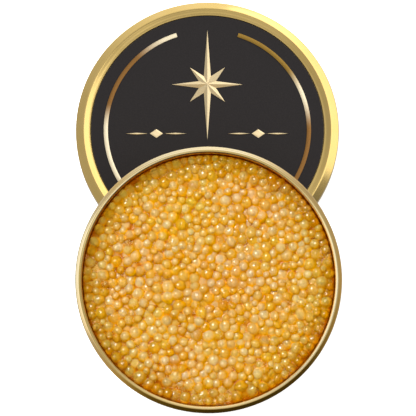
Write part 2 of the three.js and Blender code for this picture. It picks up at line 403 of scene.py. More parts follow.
def turned(name, profile, sides=ROUND_SIDES):
    """A round piece on the Z axis, from its radii and heights, from the middle round to the middle."""
    first_radius, first_height = profile[0]
    bpy.ops.mesh.primitive_circle_add(
        vertices=sides, radius=first_radius * MM, location=(0, 0, first_height * MM)
    )
    piece = bpy.context.active_object
    piece.name = piece.data.name = name
    bpy.ops.object.transform_apply(location=True)
    bpy.ops.object.mode_set(mode="EDIT")
    bpy.ops.mesh.select_mode(type="VERT")
    bpy.ops.mesh.select_all(action="SELECT")
    for (radius, height), (next_radius, next_height) in zip(profile, profile[1:]):
        bpy.ops.mesh.extrude_region_move()
        share = next_radius / radius
        bpy.ops.transform.resize(value=(share, share, 1), center_override=(0, 0, height * MM))
        bpy.ops.transform.translate(value=(0, 0, (next_height - height) * MM))
    bpy.ops.mesh.edge_face_add()
    bpy.ops.object.mode_set(mode="OBJECT")
    # The first ring is closed as the last one was
    for index, vertex in enumerate(piece.data.vertices):
        vertex.select = index < sides
    for edge in piece.data.edges:
        edge.select = max(edge.vertices) < sides
    for face in piece.data.polygons:
        face.select = False
    bpy.ops.object.mode_set(mode="EDIT")
    bpy.ops.mesh.edge_face_add()
    bpy.ops.mesh.select_all(action="SELECT")
    bpy.ops.mesh.normals_make_consistent(inside=False)
    bpy.ops.object.mode_set(mode="OBJECT")
    bpy.ops.object.shade_smooth_by_angle(angle=math.radians(ROUND_SMOOTH_ANGLE))
    piece.select_set(False)
    return piece


def settle(piece, matrix):
    """Sets a piece down in its place, which goes into its mesh."""
    piece.data.transform(matrix)
    piece.data.update()
    return piece


# Tin

def model_tin():
    inner = TIN_WALL_RADIUS - SHEET
    floor = BASE_RECESS + SHEET
    foot_inner = FOOT_OUTER_RADIUS - FOOT_WIDTH
    corner = TIN_WALL_RADIUS - FOOT_OUTER_RADIUS
    curl_z = TIN_HEIGHT - RIM_CURL_DROP
    profile = [
        (MIDDLE_RADIUS, BASE_RECESS),
        *arc_points(
            BASE_BEAD_RADIUS, BASE_RECESS - BASE_BEAD_SINK, BASE_BEAD_ROUND, 155, 25, 6
        ),
        *[(foot_inner - inset, height) for inset, height in FOOT_SLOPE],
        *arc_points(foot_inner + FOOT_ROUND_INSET, FOOT_ROUND, FOOT_ROUND, 190, 268, 4),
        *arc_points(FOOT_OUTER_RADIUS, corner, corner, -90, 0, 8),
        (TIN_WALL_RADIUS, TIN_HEIGHT - RIM_NECK_DROP),
        *arc_points(RIM_RADIUS - RIM_CURL, curl_z, RIM_CURL, -118, 48, 16),
        (RIM_CREST_RADIUS + CREST_SHOULDER[0], TIN_HEIGHT - CREST_SHOULDER[1]),
        *arc_points(
            RIM_CREST_RADIUS + CREST_INSET, TIN_HEIGHT - CREST_ROUND, CREST_ROUND, 48, 105, 5
        ),
        *[(inner + outset, TIN_HEIGHT - drop) for outset, drop in LIP_SLOPE],
        *arc_points(inner - FLOOR_CORNER, floor + FLOOR_CORNER, FLOOR_CORNER, 0, -90, 5),
    ]
    return settle(turned("tin_shell", profile), TIN_MATRIX)


# Lid

def model_lid():
    panel = LID_HEIGHT - LID_PANEL_DROP
    step = panel + LID_STEP_RISE
    skirt_inner = LID_RADIUS - SHEET
    hem_inner = LID_RADIUS - HEM_WIDTH
    profile = [
        (MIDDLE_RADIUS, panel - SHEET),
        (LID_PANEL_RADIUS, panel - SHEET),
        (LID_STEP_RADIUS, step - SHEET),
        (LID_RIDGE_RADIUS, LID_HEIGHT - SHEET),
        (skirt_inner, LID_SHOULDER_HEIGHT - SKIRT_CORNER),
        (skirt_inner, HEM_HEIGHT + SKIRT_CORNER),
        (hem_inner, HEM_HEIGHT),
        (hem_inner, HEM_INNER_ROUND),
        *arc_points(hem_inner + HEM_INNER_ROUND, HEM_INNER_ROUND, HEM_INNER_ROUND, 190, 270, 3),
        *arc_points(LID_RADIUS - HEM_OUTER_ROUND, HEM_OUTER_ROUND, HEM_OUTER_ROUND, 270, 360, 4),
        *arc_points(
            LID_RADIUS - LID_SHOULDER_ROUND, LID_SHOULDER_HEIGHT - LID_SHOULDER_DROP,
            LID_SHOULDER_ROUND, 0, 44, 6,
        ),
        *arc_points(
            LID_RIDGE_RADIUS - LID_RIDGE_INSET, LID_HEIGHT - LID_RIDGE_ROUND,
            LID_RIDGE_ROUND, 46, 115, 12,
        ),
        *LID_SLOPE,
        (LID_PANEL_RADIUS, panel),
    ]
    return settle(turned("lid_shell", profile), LID_MATRIX)


# Label and foil

def model_label():
    profile = [
        (MIDDLE_RADIUS, 0.0),
        (LABEL_RADIUS, 0.0),
        (LABEL_RADIUS, LABEL_THICKNESS - LABEL_EDGE),
        (LABEL_RADIUS - LABEL_EDGE, LABEL_THICKNESS),
        (MIDDLE_RADIUS, LABEL_THICKNESS),
    ]
    panel = (LID_HEIGHT - LID_PANEL_DROP) * MM
    return settle(turned("label", profile), LID_MATRIX @ Matrix.Translation((0, 0, panel)))


def label_top_matrix(x=0.0, y=0.0):
    height = LID_HEIGHT - LID_PANEL_DROP + LABEL_THICKNESS
    return LID_MATRIX @ Matrix.Translation((x * MM, y * MM, height * MM))


def polar(radius, degrees):
    angle = math.radians(degrees)
    return radius * math.cos(angle), radius * math.sin(angle)


def select_edges(piece, wanted):
    """Selects, in edit mode, the edges whose two ends both pass the test; the rest is deselected."""
    bpy.ops.mesh.select_mode(type="EDGE")
    bpy.ops.mesh.select_all(action="DESELECT")
    bpy.ops.object.mode_set(mode="OBJECT")
    for edge in piece.data.edges:
        edge.select = all(wanted(piece.data.vertices[i].co) for i in edge.vertices)
    bpy.ops.object.mode_set(mode="EDIT")


def select_vertices(piece, wanted):
    bpy.ops.mesh.select_mode(type="VERT")
    bpy.ops.mesh.select_all(action="DESELECT")
    bpy.ops.object.mode_set(mode="OBJECT")
    for vertex in piece.data.vertices:
        vertex.select = wanted(vertex.co)
    bpy.ops.object.mode_set(mode="EDIT")


def finish_piece(piece, smooth_angle):
    bpy.ops.mesh.select_all(action="SELECT")
    bpy.ops.mesh.remove_doubles(threshold=DOUBLES_WITHIN * MM)
    bpy.ops.mesh.normals_make_consistent(inside=False)
    bpy.ops.object.mode_set(mode="OBJECT")
    bpy.ops.object.shade_smooth_by_angle(angle=math.radians(smooth_angle))
    piece.select_set(False)


def model_arc(name, start, sweep):
    """A foil arc: a strip with bevelled corners, spun about the middle of the label."""
    bpy.ops.mesh.primitive_plane_add(size=1, location=(0, 0, 0))
    piece = bpy.context.active_object
    piece.name = piece.data.name = name
    bpy.ops.object.mode_set(mode="EDIT")
    bpy.ops.transform.resize(value=(ARC_WIDTH * MM, FOIL_THICKNESS * MM, 1))
    bpy.ops.mesh.select_mode(type="VERT")
    bpy.ops.mesh.bevel(offset=ARC_CORNER * MM, segments=2, affect="VERTICES")
    bpy.ops.mesh.select_all(action="SELECT")
    bpy.ops.transform.rotate(
        value=math.radians(-90), orient_axis="X", center_override=(0, 0, 0)
    )
    bpy.ops.transform.translate(value=(ARC_RADIUS * MM, 0, FOIL_THICKNESS / 2 * MM))
    bpy.ops.transform.rotate(
        value=math.radians(-start), orient_axis="Z", center_override=(0, 0, 0)
    )
    bpy.ops.mesh.spin(
        steps=ARC_STEPS, angle=math.radians(sweep), center=(0, 0, 0), axis=(0, 0, -1)
    )
    finish_piece(piece, FOIL_SMOOTH_ANGLE)
    return settle(piece, label_top_matrix())


def model_star():
    """A star of eight points, each folded along its middle and falling from the centre to its tip."""
    bpy.ops.mesh.primitive_circle_add(
        vertices=16, radius=STAR_NOTCH_RADIUS * MM, fill_type="TRIFAN", location=(0, 0, 0)
    )
    piece = bpy.context.active_object
    piece.name = piece.data.name = "label_star_foil"
    bpy.ops.object.mode_set(mode="EDIT")
    for point in range(8):
        tip = STAR_POINTS[point % 4]
        x, y = polar(STAR_NOTCH_RADIUS * MM, 45 * point)
        corner = Vector((x, y, 0))
        select_vertices(piece, lambda co: (co - corner).length < SAME_CORNER_WITHIN * MM)
        bpy.ops.transform.resize(
            value=(tip / STAR_NOTCH_RADIUS,) * 3, center_override=(0, 0, 0)
        )
    select_vertices(piece, lambda co: co.length < AT_CENTRE_WITHIN * MM)
    bpy.ops.transform.translate(value=(0, 0, STAR_HEIGHT * MM))
    select_edges(piece, lambda co: co.length > AT_CENTRE_WITHIN * MM)
    bpy.ops.transform.translate(value=(0, 0, STAR_EDGE_HEIGHT * MM))
    bpy.ops.mesh.extrude_region_move()
    bpy.ops.transform.translate(value=(0, 0, -STAR_EDGE_HEIGHT * MM))
    bpy.ops.mesh.edge_face_add()
    finish_piece(piece, FOLD_SMOOTH_ANGLE)
    return settle(piece, label_top_matrix(0, STAR_CENTRE_Y))


def model_divider(name, x):
    """A small lozenge with a thin pointed line on either side."""
    bpy.ops.mesh.primitive_circle_add(
        vertices=4, radius=LOZENGE_HALF_WIDTH * MM, fill_type="NGON", location=(0, 0, 0)
    )
    piece = bpy.context.active_object
    piece.name = piece.data.name = name
    bpy.ops.object.mode_set(mode="EDIT")
    bpy.ops.transform.resize(value=(LOZENGE_HALF_LENGTH / LOZENGE_HALF_WIDTH, 1, 1))
    bpy.ops.mesh.extrude_region_move()
    bpy.ops.transform.translate(value=(0, 0, LOZENGE_EDGE_HEIGHT * MM))
    bpy.ops.mesh.inset(thickness=LOZENGE_SLOPE * MM, depth=LOZENGE_CROWN * MM)
    half_line = (DIVIDER_HALF_LENGTH - LINE_START) / 2 * MM
    for side in (-1, 1):
        middle = (side * (DIVIDER_HALF_LENGTH + LINE_START) / 2 * MM, 0, 0)
        bpy.ops.mesh.primitive_circle_add(
            vertices=4, radius=1, fill_type="NGON", location=middle,
        )
        bpy.ops.transform.resize(
            value=(half_line, LINE_HALF_WIDTH * MM, 1), center_override=middle,
        )
        bpy.ops.mesh.extrude_region_move()
        bpy.ops.transform.translate(value=(0, 0, LINE_HEIGHT * MM))
        bpy.ops.transform.resize(value=(*LINE_TAPER, 1))
    finish_piece(piece, FOLD_SMOOTH_ANGLE)
    return settle(piece, label_top_matrix(x, DIVIDER_Y))


# Materials

def own_axis_coordinates(tree, place, lean):
    """Object coordinates on the piece's own upright axis: the vector, its radius and its height."""
    coordinates = tree.nodes.new("ShaderNodeTexCoord")
    shift = add(tree, "ShaderNodeVectorMath", operation="SUBTRACT")
    shift.inputs[1].default_value = place
    tree.links.new(coordinates.outputs["Object"], shift.inputs[0])
    turn = add(tree, "ShaderNodeMapping", Rotation=(-lean, 0, 0))
    tree.links.new(shift.outputs["Vector"], turn.inputs["Vector"])
    parts = separate(tree, turn.outputs["Vector"])
    flat = tree.nodes.new("ShaderNodeCombineXYZ")
    tree.links.new(parts["X"], flat.inputs["X"])
    tree.links.new(parts["Y"], flat.inputs["Y"])
    radius = add(tree, "ShaderNodeVectorMath", operation="LENGTH")
    tree.links.new(flat.outputs["Vector"], radius.inputs[0])
    return turn.outputs["Vector"], radius.outputs["Value"], parts["Z"]


def scaled(tree, source, low, high):
    """The share of the way from low to high, in millimetres."""
    return map_range(tree, source, low * MM, high * MM)


# The lacquer's tones on the rim, made paler or deeper round it as painted reflections of the lamps and
# of the dark
RICH_GOLD = (0.90, 0.61, 0.15)
DEEP_GOLD = (0.94, 0.51, 0.045)
PALE_GOLD = (0.98, 0.83, 0.51)
# The wall below the lip is painted dark brown, as shade under the rim's curl
WALL_PAINTED_SHADE = (0.58, 0.25, 0.012)
SLOPE_BROWN = (0.36, 0.18, 0.02)
SLOPE_GOLD = (0.98, 0.76, 0.34)
# How pale these painted reflections are by azimuth: within the crest, outside it and on the lip down
# to the wall
INNER_PALENESS = [
    (-180, 0.12), (-160, 0.25), (-135, 0.35), (-110, 0.45), (-90, 0.5), (-70, 0.6), (-45, 0.85),
    (-20, 0.95), (0, 1.0), (20, 0.75), (45, 0.4), (70, 0.25), (90, 0.3), (110, 0.6), (135, 0.8),
    (160, 0.4), (180, 0.12),
]
OUTER_PALENESS = [
    (-180, 1.0), (-160, 0.7), (-135, 0.2), (-115, 0.0), (-45, 0.0), (-20, 0.18), (0, 0.28), (20, 0.4),
    (45, 0.5), (60, 0.75), (75, 1.0), (115, 1.0), (135, 0.5), (155, 1.0), (180, 1.0),
]
SLOPE_PALENESS = [
    (-180, 0.5), (-150, 0.45), (-120, 0.65), (-90, 0.9), (-40, 1.0), (0, 1.0), (30, 0.9), (60, 0.4),
    (90, 0.05), (150, 0.0), (165, 0.3), (180, 0.5),
]
# Where the tones meet, as pairs of radii, and the fine lines between the last two, painted as dark
# lines between the rim's highlight bands
CREST_BAND = (42.6, 42.9)
LIP_BAND = (41.9, 42.2)
WALL_BAND = (41.72, 41.8)
LINED_BAND = (42, 44)
FINE_LINES = [
    (0.27, (1, 1, 1)), (0.33, (0.74, 0.68, 0.56)), (0.39, (1, 1, 1)),
    (0.60, (1, 1, 1)), (0.66, (0.85, 0.8, 0.7)), (0.72, (1, 1, 1)),
]


# The rim's lacquer with painted reflections by azimuth, fine painted dark lines and painted shade on
# the wall below the lip
def rim_gold_and_reflections(tree, vector, radius):
    turn = azimuth(tree, vector)
    inner = blend(tree, tones_by_azimuth(tree, turn, INNER_PALENESS), RICH_GOLD, PALE_GOLD)
    outer = blend(tree, tones_by_azimuth(tree, turn, OUTER_PALENESS), DEEP_GOLD, PALE_GOLD)
    gold = blend(tree, scaled(tree, radius, *CREST_BAND), inner, outer)
    gold = multiply(tree, gold, ramp(tree, scaled(tree, radius, *LINED_BAND), FINE_LINES))
    lip = blend(tree, tones_by_azimuth(tree, turn, SLOPE_PALENESS), SLOPE_BROWN, SLOPE_GOLD)
    slope = blend(tree, scaled(tree, radius, *LIP_BAND), lip, gold)
    # Below the lip the wall takes the painted shade
    return blend(tree, scaled(tree, radius, *WALL_BAND), WALL_PAINTED_SHADE, slope)


# Painted shade on the lid's inner slope, by azimuth: how much of the lacquer's colour is left there
SLOPE_PAINTED_SHADE = [
    (-180, 1.0), (-25, 0.95), (0, 0.92), (20, 0.95), (45, 0.84), (70, 0.88), (90, 0.78), (110, 0.66),
    (135, 0.70), (150, 0.85), (165, 1.0), (180, 1.0),
]
# Where that counts, as shares of the way between two radii
SLOPE_RADII = (39, 43)
SLOPE_REACH = [(0.2, (0, 0, 0)), (0.35, (1, 1, 1)), (0.66, (1, 1, 1)), (0.78, (0, 0, 0))]


# Darkens the lid's lacquer on its inner slope by azimuth, as painted shade
def shade_slope(tree, vector, radius, colour):
    slope = tones_by_azimuth(tree, azimuth(tree, vector), SLOPE_PAINTED_SHADE)
    reach = ramp(tree, scaled(tree, radius, *SLOPE_RADII), SLOPE_REACH)
    return multiply(tree, colour, blend(tree, reach, (1, 1, 1), slope))


LACQUER_TONES = [
    (0.3, (0.89, 0.63, 0.205)), (0.55, (0.92, 0.655, 0.23)), (0.75, (0.94, 0.675, 0.25)),
]
LACQUER_ROUGHNESS = (0.17, 0.25)
# Heights between which the wall's lacquer gives way to the rim's painted reflections
RIM_TONES_FROM = (6, 10)


def gold_tinplate(name, place, lean, line_depth, rim=False):
    """Gold lacquer with faint lines round the axis; a rim carries painted reflections, otherwise the
    inner slope carries painted shade.
    """
    material, tree, shader = new_material(name)
    vector, radius, height = own_axis_coordinates(tree, place, lean)
    rings = tree.nodes.new("ShaderNodeCombineXYZ")
    tree.links.new(radius, rings.inputs["X"])
    tree.links.new(height, rings.inputs["Y"])
    lines = noise(tree, rings.outputs["Vector"], Scale=2600.0, Detail=2.0, Roughness=0.5)
    patches = noise(tree, vector, Scale=90.0, Detail=4.0, Roughness=0.55)
    colour = ramp(tree, patches, LACQUER_TONES)
    if rim:
        rim_reflections = rim_gold_and_reflections(tree, vector, radius)
        colour = blend(tree, scaled(tree, height, *RIM_TONES_FROM), colour, rim_reflections)
    else:
        colour = shade_slope(tree, vector, radius, colour)
    tree.links.new(colour, shader.inputs["Base Color"])
    shine = map_range(tree, patches, 0.3, 0.7, *LACQUER_ROUGHNESS)
    tree.links.new(shine, shader.inputs["Roughness"])
    tree.links.new(bump(tree, lines, line_depth, 0.06 * MM), shader.inputs["Normal"])
    set_values(shader, Metallic=1.0)
    return material


BLACK_TONES = [(0.35, (0.022, 0.018, 0.018)), (0.7, (0.028, 0.023, 0.023))]


def black_print():
    """Satin black with a fine grain."""
    material, tree, shader = new_material("black_print")
    vector, _, _ = own_axis_coordinates(tree, LID_PLACE, 0)
    grain = noise(tree, vector, Scale=2400.0, Detail=2.0)
    tree.links.new(ramp(tree, grain, BLACK_TONES), shader.inputs["Base Color"])
    tree.links.new(bump(tree, grain, 0.08, 0.05 * MM), shader.inputs["Normal"])
    set_values(shader, Roughness=0.55, Specular_IOR_Level=0.25)
    return material


def foil_print(name, stops):
    """Gold foil whose tone runs round the label, as light and dark sweeps."""
    material, tree, shader = new_material(name)
    vector, _, _ = own_axis_coordinates(tree, LID_PLACE, 0)
    parts = separate(tree, vector)
    clockwise = whole_turn(tree, parts["X"], parts["Y"])
    grain = noise(tree, vector, Scale=2600.0, Detail=2.0)
    tree.links.new(ramp(tree, clockwise, stops, "EASE"), shader.inputs["Base Color"])
    tree.links.new(bump(tree, grain, 0.1, 0.04 * MM), shader.inputs["Normal"])
    set_values(shader, Metallic=0.7, Roughness=0.35)
    return material


# Caviar: eggs dropped into the tin, pressed level, then dressed in their wet gel

def mix(first, second, share):
    return np.asarray(first) * (1 - share) + np.asarray(second) * share


def neighbour_pairs(places, reach):
    gaps = np.linalg.norm(places[:, None, :] - places[None, :, :], axis=2)
    first, second = np.nonzero(gaps < reach)
    keep = first < second
    return first[keep], second[keep]


PACK_STEPS = 220
PACK_LIFT = 0.03
PACK_EASE = 0.35
STEPS_TO_NEW_PAIRS = 6
PAIR_REACH = 3.0 * EGG_RADIUS
SIZE_DEVIATION = 0.6
TINY = 1e-9


def pack_eggs(rng):
    """Eggs packed at random under a flat lid.

    They push each other apart as they are pressed up to it."""
    spread = np.clip(rng.normal(0, SIZE_DEVIATION, EGG_COUNT), -1, 1)
    sizes = EGG_RADIUS * (1 + EGG_SIZE_SPREAD * spread)
    out = BED_RADIUS * np.sqrt(rng.random(EGG_COUNT))
    turn = 2 * math.pi * rng.random(EGG_COUNT)
    places = np.stack([
        out * np.cos(turn), out * np.sin(turn), BED_TOP - BED_DEPTH * rng.random(EGG_COUNT),
    ], axis=1)
    ceiling = BED_TOP - sizes - EGG_SINK * np.abs(rng.normal(0, 1, EGG_COUNT))
    bottom = BED_TOP - BED_DEPTH + sizes
    for step in range(PACK_STEPS):
        if step % STEPS_TO_NEW_PAIRS == 0:
            first, second = neighbour_pairs(places, PAIR_REACH)
        places[:, 2] += PACK_LIFT * (1 - step / PACK_STEPS)
        gap = places[second] - places[first]
        distance = np.linalg.norm(gap, axis=1) + TINY
        overlap = np.maximum(EGG_PRESS * (sizes[first] + sizes[second]) - distance, 0)
        push = gap * (PACK_EASE * overlap / distance)[:, None]
        np.add.at(places, first, -push)
        np.add.at(places, second, push)
        out = np.hypot(places[:, 0], places[:, 1])
        limit = BED_RADIUS - sizes
        places[:, :2] *= np.where(out > limit, limit / np.maximum(out, TINY), 1)[:, None]
        places[:, 2] = np.clip(places[:, 2], bottom, ceiling)
    return places, sizes


def ball_shape(subdivisions):
    """The directions and faces of a ball with a few dozen faces, taken from an icosphere."""
    bpy.ops.mesh.primitive_ico_sphere_add(subdivisions=subdivisions, radius=1)
    ball = bpy.context.active_object
    directions = np.array([v.co for v in ball.data.vertices])
    faces = np.array([tuple(p.vertices) for p in ball.data.polygons])
    mesh = ball.data
    bpy.data.objects.remove(ball)
    bpy.data.meshes.remove(mesh)
    return directions, faces


def faces_of_copies(faces, count, points_each):
    """The faces of that many copies of a ball, one after the other in one mesh."""
    offsets = (np.arange(count) * points_each)[:, None, None]
    return (faces[None] + offsets).reshape(-1, 3)


def random_turns(rng, count):
    """Random rotations as matrices, from random quaternions."""
    q = rng.normal(size=(count, 4))
    q /= np.linalg.norm(q, axis=1)[:, None]
    w, x, y, z = q.T
    return np.stack([
        np.stack([1 - 2 * (y * y + z * z), 2 * (x * y - z * w), 2 * (x * z + y * w)], axis=1),
        np.stack([2 * (x * y + z * w), 1 - 2 * (x * x + z * z), 2 * (y * z - x * w)], axis=1),
        np.stack([2 * (x * z - y * w), 2 * (y * z + x * w), 1 - 2 * (x * x + y * y)], axis=1),
    ], axis=1)


def joined_mesh(name, points, faces, hearts, edges=None, nearness=None):
    """A mesh from arrays, whose colour goes from the edge tint to the top tint, which on an egg is
    painted light.

    The nearness of a point to its egg's pole, up to 1, is kept as the tints' alpha."""
    mesh = bpy.data.meshes.new(name)
    mesh.vertices.add(len(points))
    mesh.vertices.foreach_set("co", points.astype(np.float32).ravel())
    width = faces.shape[1]
    mesh.loops.add(faces.size)
    mesh.loops.foreach_set("vertex_index", faces.astype(np.int32).ravel())
    mesh.polygons.add(len(faces))
    mesh.polygons.foreach_set("loop_start", np.arange(0, faces.size, width, dtype=np.int32))
    mesh.polygons.foreach_set("use_smooth", np.ones(len(faces), dtype=bool))
    mesh.update(calc_edges=True)
    if edges is None:
        edges, nearness = hearts, np.ones(len(points))
    for layer_name, colours in (("heart", hearts), ("edge", edges)):
        layer = mesh.color_attributes.new(layer_name, "FLOAT_COLOR", "POINT")
        rgba = np.concatenate([colours, nearness[:, None]], axis=1)
        layer.data.foreach_set("color", rgba.astype(np.float32).ravel())
    mesh.validate()
    piece = bpy.data.objects.new(name, mesh)
    bpy.context.scene.collection.objects.link(piece)
    return piece


# Kinds of egg: share of all, colour at the top, the egg's own colour made paler there as painted
# light, and colour down the sides
EGG_KINDS = {
    "eggs_cream": (0.64, (0.82, 0.53, 0.185), (0.905, 0.388, 0.0005)),
    "eggs_golden": (0.27, (0.82, 0.495, 0.10), (0.895, 0.375, 0.0003)),
    "eggs_amber": (0.09, (0.84, 0.45, 0.035), (0.87, 0.35, 0.0002)),
}
SHADE_SPREAD = 0.06
# The palest and the deepest painted light on the top of a kind, as shares of the way from its side
# colour to its top colour
LIT_TOP_STRENGTH = (0.5, 1.15)
# The gel's own deep amber, kept dark in the gaps as painted shade, and a darker painted shade for its
# crevices
GEL_DEEP = (0.585, 0.192, 0.0001)
GEL_CREVICE_SHADE = (0.48, 0.11, 0.0001)
# The painted light of the top starts at one nearness to the egg's pole and is full at the other
LIT_TOP_FROM = 0.28
LIT_TOP_FULL = 0.88
LIT_TOP_POWER = 1.2
# Poles lean towards the key lamp's side on the whole, so the painted light falls there, and stray from
# it at random
LIT_TOP_LEAN = np.array((-0.28, 0.28, 1.0))
LIT_TOP_STRAY = 0.2
# Slow change of hue over the bed: how long its waves are, and what they do to red, green and blue
DRIFT_SEED = 5
DRIFT_LENGTH = 30.0
HUE_DRIFT = np.array((0.006, -0.022, 0.10))
# Roe is painted deeper and darker towards the wall, as shade of the wall and rim, and lighter again
# right at the wall: share of its red, green and blue by radius
WALL_TONES = [
    (30.5, (1.0, 1.0, 1.0)), (33.5, (0.97, 0.97, 0.90)), (36.2, (0.88, 0.88, 0.55)),
    (38.7, (0.78, 0.73, 0.32)), (40.2, (0.72, 0.65, 0.21)), (41.2, (1.14, 1.02, 0.34)),
]


def shade_near_wall(points, colours):
    """Tints that turn deeper towards the wall as painted shade and drift a little between orange and
    yellow.
    """
    waves_rng = np.random.default_rng(DRIFT_SEED)
    drift = slow_waves(waves_rng, points[..., 0], points[..., 1], DRIFT_LENGTH)
    colours = colours * (1 + drift[..., None] * HUE_DRIFT)
    out = np.hypot(points[..., 0], points[..., 1])
    radii = [radius for radius, _ in WALL_TONES]
    shares = [
        np.interp(out, radii, [tone[channel] for _, tone in WALL_TONES]) for channel in range(3)
    ]
    return colours * np.stack(shares, axis=-1)


def draw_tints(rng):
    """For every egg its kind, and its own shade of that kind's two colours."""
    kinds = list(EGG_KINDS.values())
    chosen = rng.choice(len(kinds), size=EGG_COUNT, p=[kind[0] for kind in kinds])
    shade = 1 + SHADE_SPREAD * rng.normal(0, 1, EGG_COUNT)
    cast = np.stack([0.6 + 0.4 * shade, shade, shade**2], axis=1)
    paleness = np.interp(rng.random(EGG_COUNT), (0, 1), LIT_TOP_STRENGTH)[:, None]
    sides = np.array([kind[2] for kind in kinds])[chosen] * cast
    tops = mix(sides, np.array([kind[1] for kind in kinds])[chosen] * cast, paleness)
    return chosen, tops, sides


def heart_share(nearness):
    """How far a point has gone to the top tint of painted light, by its nearness to the egg's pole."""
    return np.clip((nearness - LIT_TOP_FROM) / (LIT_TOP_FULL - LIT_TOP_FROM), 0, 1) ** LIT_TOP_POWER


def draw_poles(rng):
    """For every egg the direction in which its painted light, a pale top, shows."""
    poles = LIT_TOP_LEAN + LIT_TOP_STRAY * rng.normal(size=(EGG_COUNT, 3))
    return poles / np.linalg.norm(poles, axis=1)[:, None]


SQUASH_SPREAD = 0.17
SQUASH_RANGE = (0.72, 1.32)
DENT_DEPTH = 0.45


def model_eggs(rng, places, sizes, tints, poles):
    """One piece for each kind of egg, every egg squashed, turned and dented in its own way."""
    directions, faces = ball_shape(2)
    kinds, tops, sides = tints
    squash = np.clip(1 + SQUASH_SPREAD * rng.normal(size=(len(sizes), 3)), *SQUASH_RANGE)
    squash /= squash.prod(axis=1)[:, None] ** (1 / 3)
    turns = random_turns(rng, len(sizes))
    dents = rng.normal(size=(len(sizes), 3))
    dents /= np.linalg.norm(dents, axis=1)[:, None]
    dent_depth = DENT_DEPTH * rng.random(len(sizes)) ** 2
    pieces = []
    for number, name in enumerate(EGG_KINDS):
        chosen = np.nonzero(kinds == number)[0]
        shaped = directions[None] * squash[chosen][:, None, :]
        facing = np.clip(directions @ dents[chosen].T, 0, 1).T
        shaped *= (1 - dent_depth[chosen][:, None] * facing**3)[:, :, None]
        turned_eggs = np.einsum("nij,nvj->nvi", turns[chosen], shaped)
        points = places[chosen][:, None, :] + turned_eggs * sizes[chosen][:, None, None]
        outward = turned_eggs / np.linalg.norm(turned_eggs, axis=2)[..., None]
        nearness = np.einsum("nvi,ni->nv", outward, poles[chosen])
        blank = np.zeros_like(points)
        # Near its pole an egg takes the top tint, painted light; further down it takes the side tint
        hearts = np.clip(shade_near_wall(points, blank + tops[chosen][:, None]), 0, 0.99)
        edges = np.clip(shade_near_wall(points, blank + sides[chosen][:, None]), 0, 0.99)
        piece = joined_mesh(
            name, points.reshape(-1, 3) * MM, faces_of_copies(faces, len(chosen), len(directions)),
            hearts.reshape(-1, 3), edges.reshape(-1, 3), nearness.ravel(),
        )
        pieces.append(settle(piece, TIN_MATRIX))
    return pieces


GEL_STEP = 0.15
GEL_LEVEL = 2.0
# How far the eggs stand out of the gel, and how softly it runs up to them
GEL_SINK = 0.22
GEL_SINK_SPREAD = 0.22
GEL_SINK_LENGTH = 9.0
GEL_SOFTNESS = 0.17
# Thickness at which the gel hides an egg's tint, and at which it turns to the crevice's painted shade
GEL_MURK = 0.2
GEL_DARK = 1.0
GEL_CELLS = 310
# Past this share of its radius an egg's round top runs on as a straight slope
DOME_EDGE = 0.9
DOME_EDGE_HEIGHT = 0.436
DOME_EDGE_SLOPE = 2.06
DOME_REACH = 1.3
DOME_MARGIN = 0.45
HIGHEST_POWER = 60
# A sum of waves is divided by this many of its standard deviations
WAVE_REACH = 1.5


def slow_waves(rng, x, y, length, count=14):
    """A smooth random field of about -1 to 1 whose hills are about that long."""
    total = np.zeros_like(x)
    for _ in range(count):
        turn, phase = 2 * math.pi * rng.random(2)
        pace = 2 * math.pi / length * (0.6 + 0.8 * rng.random())
        total += np.cos((x * math.cos(turn) + y * math.sin(turn)) * pace + phase)
    return total / math.sqrt(count / 2) / WAVE_REACH


